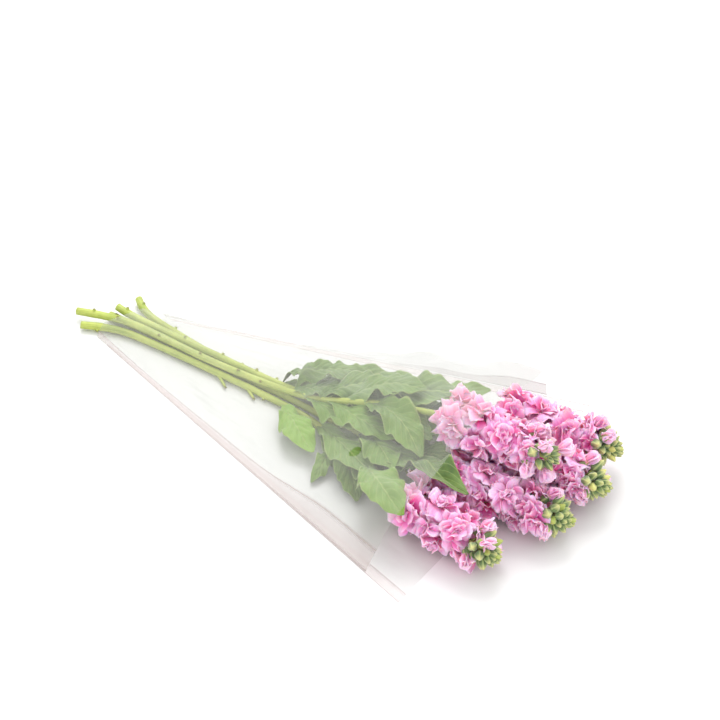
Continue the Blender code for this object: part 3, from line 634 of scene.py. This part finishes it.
def cut_hole(bm, centre, radius, sides=20):
    """Cut the round air hole through the upper panel."""
    middle = Vector((*centre, 0.0))
    turns = [2 * math.pi * side / sides for side in range(sides)]
    normals = [Vector((math.cos(turn), math.sin(turn), 0.0)) for turn in turns]
    near = [face for face in bm.faces if (face.calc_center_median() - middle).xy.length < radius + 8]
    near = [face for face in near if face.calc_center_median().z > 3]
    parts = set(near)
    for face in near:
        parts.update(face.edges)
        parts.update(face.verts)
    for normal in normals:
        cut = bmesh.ops.bisect_plane(
            bm, geom=list(parts), dist=1e-4, plane_co=middle + normal * radius, plane_no=normal
        )
        parts = {part for part in cut["geom"] if part.is_valid}
    faces = [part for part in parts if isinstance(part, bmesh.types.BMFace)]
    offsets = [(face, face.calc_center_median() - middle) for face in faces]
    inside = [face for face, offset in offsets if max(offset.dot(normal) for normal in normals) < radius]
    bmesh.ops.delete(bm, geom=inside, context="FACES")


def build_film():
    coarse = film_grid()
    fine = smooth_grid(coarse, FILM_ROWS, FILM_COLUMNS)
    rows, columns = fine.shape[:2]
    u = np.linspace(0, 1, rows)[:, None]
    t = np.linspace(-1, 1, columns)[None, :]
    slack = np.clip(1 - np.abs(t) ** 4, 0, 1) * np.clip(u * 3, 0, 1)
    creases = np.sin(9 * t + 6 * u + 2 * np.sin(5 * u)) * 0.7 + np.sin(23 * t * (1.2 - u) + 3 * u) * 0.5
    creases += 0.5 * np.sin(31 * u + 8 * t * t)
    fine[:, :, 2] += slack * (0.9 + 0.6 * creases)
    fine[:, :, 2] *= coarse[:, :, 2].max() / fine[:, :, 2].max()
    fine[:, :, 2] = np.maximum(fine[:, :, 2], FILM_LOWEST)
    bm = new_bmesh()
    patch(bm, fine)
    cut_hole(bm, HOLE_PLACE, HOLE_RADIUS)
    lower = np.zeros((LOWER_ROWS, LOWER_COLUMNS, 3))
    for row, s in enumerate(np.linspace(0, 1, LOWER_ROWS)):
        for column, side in enumerate(np.linspace(-1, 1, LOWER_COLUMNS)):
            lower[row, column] = (*sleeve_point(s, side), LOWER_PANEL)
    patch(bm, lower)
    for side in (0, -1):
        wall = np.stack([fine[:, side], fine[:, side]], axis=1)
        wall[:, 0, 2] = LOWER_PANEL
        patch(bm, wall)
    film = finish_piece(bm, "clear_film", [FILM], ["film_sleeve"])
    return tree_of([fine])


FILM_TREE = build_film()


def under_film(points):
    """Press points that would stand through the upper panel back under it."""
    flat = points.reshape(-1, 3)
    for point in flat:
        hit = FILM_TREE.ray_cast(Vector((point[0], point[1], ABOVE_ALL)), DOWN)[0]
        if hit is not None and point[2] > hit.z - UNDER_FILM:
            point[2] = hit.z - UNDER_FILM
    return points


# Leafy stems.


def leaf_outline(u):
    return 0.13 + 0.87 * math.sin(math.pi * min(1.0, u * 1.02) ** 1.25) ** 0.85 if u < 0.97 else 0.1


def leaf_plan(route, leaf, notch=0.0):
    """The leaf's rows and columns in plan; the solid has its margin notched by SOLID_NOTCH."""
    _, root_x, tip, width, phase, _ = leaf
    root = Vector(along_route(route, root_x)[0])
    line = Vector(tip) - root
    flat = Vector((line.x, line.y, 0))
    side = Vector((-flat.y, flat.x, 0)).normalized()
    grid = np.zeros((LEAF_ROWS, LEAF_COLUMNS, 3))
    for row in range(LEAF_ROWS):
        u = row / (LEAF_ROWS - 1)
        sway = LEAF_SWAY * flat.length * math.sin(math.pi * u) * math.sin(phase * 1.7)
        middle = root + line * u + side * sway
        half = 0.5 * width * leaf_outline(u)
        for column in range(LEAF_COLUMNS):
            v = 2 * column / (LEAF_COLUMNS - 1) - 1
            ruffle = 1 + notch * math.sin(2 * math.pi * SOLID_NOTCHES * u + phase + (2 if v > 0 else 0))
            grid[row, column] = middle + side * (v * half * (ruffle if abs(v) > 0.9 else 1.0))
    return grid


def leaf_points(route, leaf, solid):
    """Plan points with the heights of the solid leaf; points buried in the stalk take their neighbours'."""
    solid_grid = leaf_plan(route, leaf, SOLID_NOTCH)
    grid = leaf_plan(route, leaf)
    heights = np.full(grid.shape[:2], np.nan)
    for row in range(LEAF_ROWS):
        for column in range(LEAF_COLUMNS):
            found = top_at(solid, solid_grid[row, column, :2])
            if found is not None and found.max() - found.min() > 0.5:
                heights[row, column] = (found.max() + found.min()) / 2
    heights[0] = np.where(np.isnan(heights[0]), grid[0, :, 2], heights[0])
    rows = np.arange(LEAF_ROWS)
    for column in range(LEAF_COLUMNS):
        known = ~np.isnan(heights[:, column])
        grid[:, column, 2] = np.interp(rows, rows[known], heights[known, column])
    return grid


LEAF_SHEETS = []


def dress_leaf(bm, grid, leaf):
    fine = smooth_grid(grid, FINE_LEAF_ROWS, FINE_LEAF_COLUMNS)
    rows, columns = fine.shape[:2]
    u = np.linspace(0, 1, rows)[:, None]
    v = np.linspace(-1, 1, columns)[None, :]
    phase = leaf[4]
    swell = np.sin(math.pi * np.clip(u * 1.02, 0, 1))
    margin = np.abs(v) ** 3 * swell
    middle = fine[:, columns // 2 : columns // 2 + 1, :2]
    notches = 0.12 + 0.045 * np.sin(2 * math.pi * (4.7 * u + 0.8 * u * u) + phase + 2 * np.sign(v))
    fine[:, :, :2] = middle + (fine[:, :, :2] - middle) * (1 + margin * notches)[..., None]
    ruffle = np.sin(2 * math.pi * (2.6 * u + 0.7 * u * u) + 2 * phase + 1.5 * np.sign(v))
    ruffle += 0.4 * np.sin(2 * math.pi * 6.1 * u + 5 * phase + 0.7 * np.sign(v))
    fine[:, :, 2] += np.abs(v) ** 2.2 * swell * 3.6 * ruffle
    fine[:, :, 2] += swell * 0.7 * np.cos(2 * math.pi * (8 * u - 1.9 * np.abs(v)) + phase)
    fine[:, :, 2] -= 1.2 * swell * np.exp(-((v / 0.12) ** 2))
    fine[:, :, 2] += LEAF_LIFT
    tone = leaf[5] + 0.12 * np.abs(v) * np.ones_like(u)
    LEAF_SHEETS.append(under_film(fine))
    patch(bm, fine, tone)


def dress_stalk(bm, stem, route):
    centres = smooth(route, STALK_ROWS)
    sides = STALK_SIDES
    angles = np.arange(sides) * 2 * math.pi / sides
    rows = []
    tones = []
    for centre in centres:
        swell = 0.0
        for x, _, _ in SCARS[stem]:
            swell += 0.25 * math.exp(-(((centre[0] - x) / 5.0) ** 2))
        rib = 0.10 * np.sin(5 * angles + centre[0] * 0.012) + 0.06 * np.sin(3 * angles + centre[0] * 0.05)
        rows.append(stalk_radius(centre[0]) * 0.985 - 0.1 + swell + rib)
        tones.append(np.full(sides + 1, 0.45 + 0.1 * math.sin(centre[0] * 0.07)))
    radii = np.array(rows)
    tones = np.array(tones)
    start, end = centres[0], centres[-1]
    step = (centres[1] - centres[0]) / np.linalg.norm(centres[1] - centres[0])
    centres = np.concatenate([[start + step * 1.2], [start + step * 0.3], [start], centres, [end]])
    closed = np.zeros(sides)
    radii = np.concatenate([[closed, radii[0] * 0.55, radii[0] * 0.94], radii, [closed]])
    cut = np.array((0.0, 0.05, 0.75))[:, None] * np.ones(sides + 1)
    tones = np.concatenate([cut, tones, tones[-1:]])
    patch(bm, swept(centres, radii, sides), tones, around=True)
    for x, angle, length in SCARS[stem]:
        centre, direction = along_route(route, x)
        radius = stalk_radius(x)
        out = Vector((0, math.cos(math.radians(angle)), math.sin(math.radians(angle))))
        long = length > 5
        lean = Vector(direction) * length * (1.1 if long else 0.15)
        tip = Vector(centre) + out * (radius + length * (0.75 if long else 0.8)) + lean
        tip.z = max(tip.z, FLOOR + 2.0)
        root = Vector(centre) + out * (radius - 1.4)
        tone = np.full((7 if long else 6, 9), 0.5)
        tone[-2:] = 0.95
        points = stick(root, tip, 2.0, 1.2 if long else 1.5, 8, 5 if long else 4)
        patch(bm, points, tone[: len(points)], around=True)


def build_leafy_stem(stem):
    route = route_of(stem)
    solid = cad_points("leafy_stem_" + stem)
    bm = new_bmesh()
    dress_stalk(bm, stem, route)
    finish_piece(bm, "stalk_" + stem, [STALK], ["leafy_stem_" + stem], outward=True)
    bm = new_bmesh()
    for leaf in LEAVES:
        if leaf[0] == stem:
            dress_leaf(bm, leaf_points(route, leaf, solid), leaf)
    for leaf in SMALL_LEAVES:
        if leaf[0] == stem:
            grid = leaf_plan(route, leaf)
            arch = SMALL_LEAF_ARCH * np.sin(math.pi * np.linspace(0, 1, LEAF_ROWS))
            grid[:, :, 2] = np.maximum(grid[:, :, 2] + arch[:, None], FLOOR + SMALL_LEAF_LOWEST)
            dress_leaf(bm, grid, leaf)
    leaves = finish_piece(bm, "leaves_" + stem, [LEAF_TOP, LEAF_UNDER], ["leafy_stem_" + stem])
    give_thickness(leaves, LEAF_THICKNESS, 1)


for stem in ROUTES:
    build_leafy_stem(stem)
LEAF_TREE = tree_of(LEAF_SHEETS)


def under_leaves(points):
    """Press petals that would just show through a leaf back under it."""
    for point in points.reshape(-1, 3):
        hit = LEAF_TREE.ray_cast(Vector((point[0], point[1], ABOVE_ALL)), DOWN)[0]
        if hit is not None and hit.z - UNDER_LEAF < point[2] < hit.z + LEAF_PRESSES:
            point[2] = hit.z - UNDER_LEAF
    return points


# Flower heads.


def neighbour_planes(stem):
    """Planes half way to each other head, where soft petals press flat, and the one that the heads lie on."""
    start, end = head_axis(stem)
    middle = (start + end) / 2
    planes = [(np.array((0.0, 0.0, FLOOR)), np.array((0.0, 0.0, -1.0)))]
    planes.append((np.array((0.0, 0.0, cad_bounds[1][2] / MM)), np.array((0.0, 0.0, 1.0))))
    planes.append((np.array((cad_bounds[1][0] / MM, 0.0, 0.0)), np.array((1.0, 0.0, 0.0))))
    for other in AXES:
        if other == stem:
            continue
        first, last = head_axis(other)
        lane = ((end - start).normalized() + (last - first).normalized()).normalized()
        away = (first + last) / 2 - middle
        away -= lane * away.dot(lane)
        distance = away.length
        away.normalize()
        planes.append((np.array(middle + away * (distance / 2 - GAP / 2)), np.array(away)))
    return planes


def confine(points, planes, margin=PETAL_MARGIN):
    """Bend points back that would cross a plane, so that they end just inside it."""
    shape = points.shape
    flat = points.reshape(-1, 3).copy()
    for origin, normal in planes:
        depth = (flat - origin) @ normal
        over = depth > -margin
        wanted = -margin * np.exp(-(depth[over] + margin) / margin)
        flat[over] += (wanted - depth[over])[:, None] * normal
    return flat.reshape(shape)


def petal_shape(length, width, start, end, rows, columns, ruffle):
    """A petal in its floret's frame: along X, across Y, the floret's axis as Z. Tilts are from that axis."""
    u = np.linspace(0, 1, rows)[:, None]
    v = np.linspace(-1, 1, columns)[None, :]
    tilt = np.radians(start + (end - start) * u**1.3)
    step = length / (rows - 1)
    reach = np.concatenate([[[0.0]], np.cumsum(np.sin(tilt[1:]) * step, axis=0)])
    rise = np.concatenate([[[0.0]], np.cumsum(np.cos(tilt[1:]) * step, axis=0)])
    blade = 0.2 + 0.8 * np.sin(math.pi / 2 * np.clip(u / 0.75, 0, 1)) ** 1.1
    half = 0.5 * width * blade * (1 - 0.1 * np.clip((u - 0.75) / 0.25, 0, 1) ** 2)
    waves = rng.uniform(0.7, 1.7)
    phase = rng.uniform(0, 2 * math.pi)
    rim = 0.2 * np.abs(v) ** 3 + 0.03 * np.cos(5 * v + phase) + 0.02 * np.cos(11 * v + 2 * phase)
    pull = -length * rim * u**2.4
    cup = rng.uniform(-0.1, 0.3)
    fold = cup * half * v * v + ruffle * u**1.5 * np.sin(math.pi * waves * v + phase)
    fold = fold + 0.35 * ruffle * u**2.5 * np.sin(2.8 * math.pi * waves * v + 2 * phase)
    fold = fold + 0.12 * ruffle * u**3 * np.sin(7.3 * math.pi * v + 3 * phase)
    turn = math.radians(rng.uniform(-50, 50)) * u
    side = v * half * np.cos(turn) + rng.uniform(-0.22, 0.22) * length * u * u
    fold = fold + v * half * np.sin(turn)
    sin, cos = np.sin(tilt), np.cos(tilt)
    return np.stack([reach + sin * pull - cos * fold, side + 0 * v, rise + cos * pull + sin * fold], axis=-1)


# Layers of a double floret from the outside in: petals, length, width, tilts from its axis, rise, rows,
# columns, ruffle.
PETAL_LAYERS = (
    (5, 27.0, 27.0, 60, 116, -3.0, 9, 12, 3.6),
    (5, 24.0, 24.0, 40, 92, -1.0, 9, 11, 3.6),
    (4, 19.0, 19.0, 16, 66, 0.8, 8, 10, 3.0),
    (4, 13.0, 14.0, -8, 40, 1.5, 7, 8, 2.2),
)


def to_world(points, centre, outward, turn):
    level, upright = frame_along(outward)
    first = np.array(spoke(level, upright, turn))
    second = np.cross(np.array(outward), first)
    return np.array(centre) + points @ np.array([first, second, np.array(outward)])


def dress_floret(bm, centre, outward, size, spin, planes, layers=PETAL_LAYERS):
    own_tone = rng.uniform(-0.1, 0.35)
    for layer, (count, length, width, start, end, lift, rows, columns, ruffle) in enumerate(layers):
        for index in range(count):
            lean = rng.uniform(-20, 20)
            shape = petal_shape(
                length * size * rng.uniform(0.76, 1.06),
                width * size * rng.uniform(0.8, 1.15),
                start + lean,
                end + lean + rng.uniform(-22, 26),
                rows,
                columns,
                ruffle * rng.uniform(0.6, 1.4),
            )
            turn = spin + layer * 0.63 + (index + rng.uniform(-0.3, 0.3)) * 2 * math.pi / count
            placed = to_world(shape, centre + outward * (lift + rng.uniform(-1.5, 1.5)), outward, turn)
            patch(bm, under_leaves(under_film(confine(placed, planes))), own_tone + rng.uniform(0.0, 0.6))


def bud_shape(length, radius):
    """A furrowed bud along Z from 0 to its length."""
    shares = np.linspace(0, 1, BUD_ROWS)
    angles = np.linspace(0, 2 * math.pi, BUD_SIDES + 1)
    belly = np.sin(math.pi * shares**0.8) ** 0.75 * (1 - 0.25 * shares)
    belly[0], belly[-1] = 0.0, 0.0
    furrow = 1 - FURROW_DEPTH * np.abs(np.cos(SEPALS / 2 * angles)) ** 6
    ring = radius * belly[:, None] * furrow[None, :]
    height = np.repeat(shares[:, None] * length, BUD_SIDES + 1, axis=1)
    return np.stack([ring * np.cos(angles), ring * np.sin(angles), height], axis=-1)


def dress_bud(bm, foot, direction, length, radius, tone, planes):
    placed = to_world(bud_shape(length, radius), foot, direction, rng.uniform(0, 2 * math.pi))
    patch(bm, under_film(confine(placed, planes, BUD_MARGIN)), tone, around=True)


def floret_places(base, axis, length):
    level, upright = frame_along(axis)
    places = []
    count = round(length / FLORET_SPACING)
    for index in range(count):
        share = (index + 0.5) / count
        turn = index * GOLDEN_ANGLE + 0.4
        around = spoke(level, upright, turn)
        seat = FLORET_SEAT * (1 - HEAD_NARROWS * share)
        centre = base + axis * (6 + share * (length - 10)) + around * seat
        outward = (around + axis * (0.15 + 0.45 * share)).normalized()
        places.append((centre, outward, 1.0 - 0.22 * share))
    return places


def dress_half_open(petals, green, foot, direction, planes):
    """A bud that shows furled pale petals out of its green calyx."""
    dress_bud(green, foot, direction, 15.0, 5.2, 0.3, planes)
    for index in range(6):
        shape = petal_shape(18.0, 16.0, -12, 26 + 12 * (index % 2), 7, 8, 1.2)
        turn = index * 2 * math.pi / 6 + rng.uniform(-0.2, 0.2)
        placed = to_world(shape, foot + direction * 8.0, direction, turn)
        patch(petals, under_film(confine(placed, planes, BUD_MARGIN)), rng.uniform(0.7, 1.2))


# Half-open buds and closed ones at the tip of each head.
TIP_BUDS = {"front": (4, 26), "middle": (3, 34), "inner_back": (3, 28), "outer_back": (4, 34), "top": (6, 12)}


def build_head(stem):
    base, tip = head_axis(stem)
    axis = (tip - base).normalized()
    length = (tip - base).length
    split = length - BUD_TIP_LENGTH
    start = base + axis * GAP
    planes = neighbour_planes(stem)
    level, upright = frame_along(axis)
    petals, green = new_bmesh(), new_bmesh()
    patch(green, stick(start, base + axis * (length - 14), 3.2, 2.0, 10, 14), 0.6, around=True)
    places = floret_places(start, axis, split)
    for centre, outward, size in places:
        foot = start + axis * max(2.0, (centre - start).dot(axis) - 8)
        neck = centre - outward * 7.5
        patch(green, stick(foot, neck, 1.3, 1.3, 7, 5, 0.5), 0.75, around=True)
        dress_bud(green, neck - outward * 1.5, outward, CALYX_LENGTH, CALYX_RADIUS, 0.3, planes)
        dress_floret(petals, centre, outward, size, rng.uniform(0, 2 * math.pi), planes)
    # Smaller florets, deeper in the head, close the gaps between the ones in front.
    for index in range(len(places)):
        share = (index + 0.9) / len(places)
        turn = (index + 0.5) * GOLDEN_ANGLE + 1.1
        around = spoke(level, upright, turn)
        seat = FLORET_SEAT * INNER_SEAT * (1 - HEAD_NARROWS * share)
        centre = start + axis * (4 + share * (split - 8)) + around * seat
        outward = (around + axis * rng.uniform(-0.1, 0.6)).normalized()
        patch(green, stick(start + axis * share * (split - 8), centre, 1.2, 1.4, 7, 4), 0.75, around=True)
        dress_floret(petals, centre, outward, 0.86 - 0.2 * share, turn, planes, PETAL_LAYERS[:3])
    half_open, buds = TIP_BUDS[stem]
    for index in range(half_open):
        turn = 0.9 + index * GOLDEN_ANGLE
        around = spoke(level, upright, turn)
        direction = (around * (1.2 - 0.1 * index) + axis).normalized()
        root = start + axis * (split - 18 + 4 * index)
        neck = root + direction * rng.uniform(9, 13)
        patch(green, stick(root, neck, 1.3, 1.6, 7, 4), 0.8, around=True)
        dress_half_open(petals, green, neck - direction, direction, planes)
    crown = start + axis * split
    for index in range(buds):
        share = index / (buds - 1)
        turn = index * GOLDEN_ANGLE
        around = spoke(level, upright, turn)
        direction = (around * (1.9 - 1.8 * share) + axis).normalized()
        foot = crown + axis * (share * (BUD_TIP_LENGTH - 13) - 5 * (1 - share)) + around * 1.6
        size = (1.15 - 0.6 * share) * rng.uniform(0.88, 1.1)
        stalk = direction * (9.5 * (1 - share) ** 1.2 * rng.uniform(0.7, 1.25))
        patch(green, stick(foot, foot + stalk + direction, 1.0, 1.3, 6, 3), 0.8, around=True)
        tone = rng.uniform(0.74, 0.95) if rng.random() < 0.16 else rng.uniform(0.1, 0.5)
        bud_length, bud_radius = TIP_BUD_LENGTH * size, TIP_BUD_RADIUS * size
        dress_bud(green, foot + stalk, direction, bud_length, bud_radius, tone, planes)
    blossom = finish_piece(petals, "petals_" + stem, [PETAL], ["florets_" + stem])
    give_thickness(blossom, PETAL_THICKNESS)
    finish_piece(green, "buds_and_calyxes_" + stem, [BUD], ["buds_" + stem], outward=True)


for stem in AXES:
    build_head(stem)

# Floor and light.

FLOOR_HALF_SIDE = 6.0
FLOOR_ALBEDO = 0.73
SKY_STRENGTH = 1.45
KEY_PLACE, KEY_AIM = (-0.7, 1.2, 1.9), (0.1, 0, 0)
KEY_DIAMETER, KEY_WATTS = 1.6, 29

bm = bmesh.new()
bmesh.ops.create_grid(bm, x_segments=2, y_segments=2, size=FLOOR_HALF_SIDE)
floor_mesh = bpy.data.meshes.new("floor")
bm.to_mesh(floor_mesh)
bm.free()
floor = bpy.data.objects.new("floor", floor_mesh)
bpy.context.scene.collection.objects.link(floor)
floor_material, _, floor_shader = material_with("pale_floor")
floor_shader.inputs["Base Color"].default_value = (FLOOR_ALBEDO, FLOOR_ALBEDO, FLOOR_ALBEDO, 1)
floor_shader.inputs["Roughness"].default_value = 0.6
floor_mesh.materials.append(floor_material)

world = bpy.data.worlds.new("studio")
bpy.context.scene.world = world
world.use_nodes = True
sky = world.node_tree.nodes["Background"]
sky.inputs["Color"].default_value = (1.0, 1.0, 1.0, 1)
sky.inputs["Strength"].default_value = SKY_STRENGTH


def area_light(name, place, target, size, power):
    data = bpy.data.lights.new(name, "AREA")
    data.shape = "DISK"
    data.size = size
    data.energy = power
    obj = bpy.data.objects.new(name, data)
    obj.location = place
    obj.rotation_mode = "QUATERNION"
    obj.rotation_quaternion = (Vector(target) - Vector(place)).to_track_quat("-Z", "Y")
    bpy.context.scene.collection.objects.link(obj)


area_light("key", KEY_PLACE, KEY_AIM, KEY_DIAMETER, KEY_WATTS)
bpy.context.scene.view_settings.view_transform = "Standard"
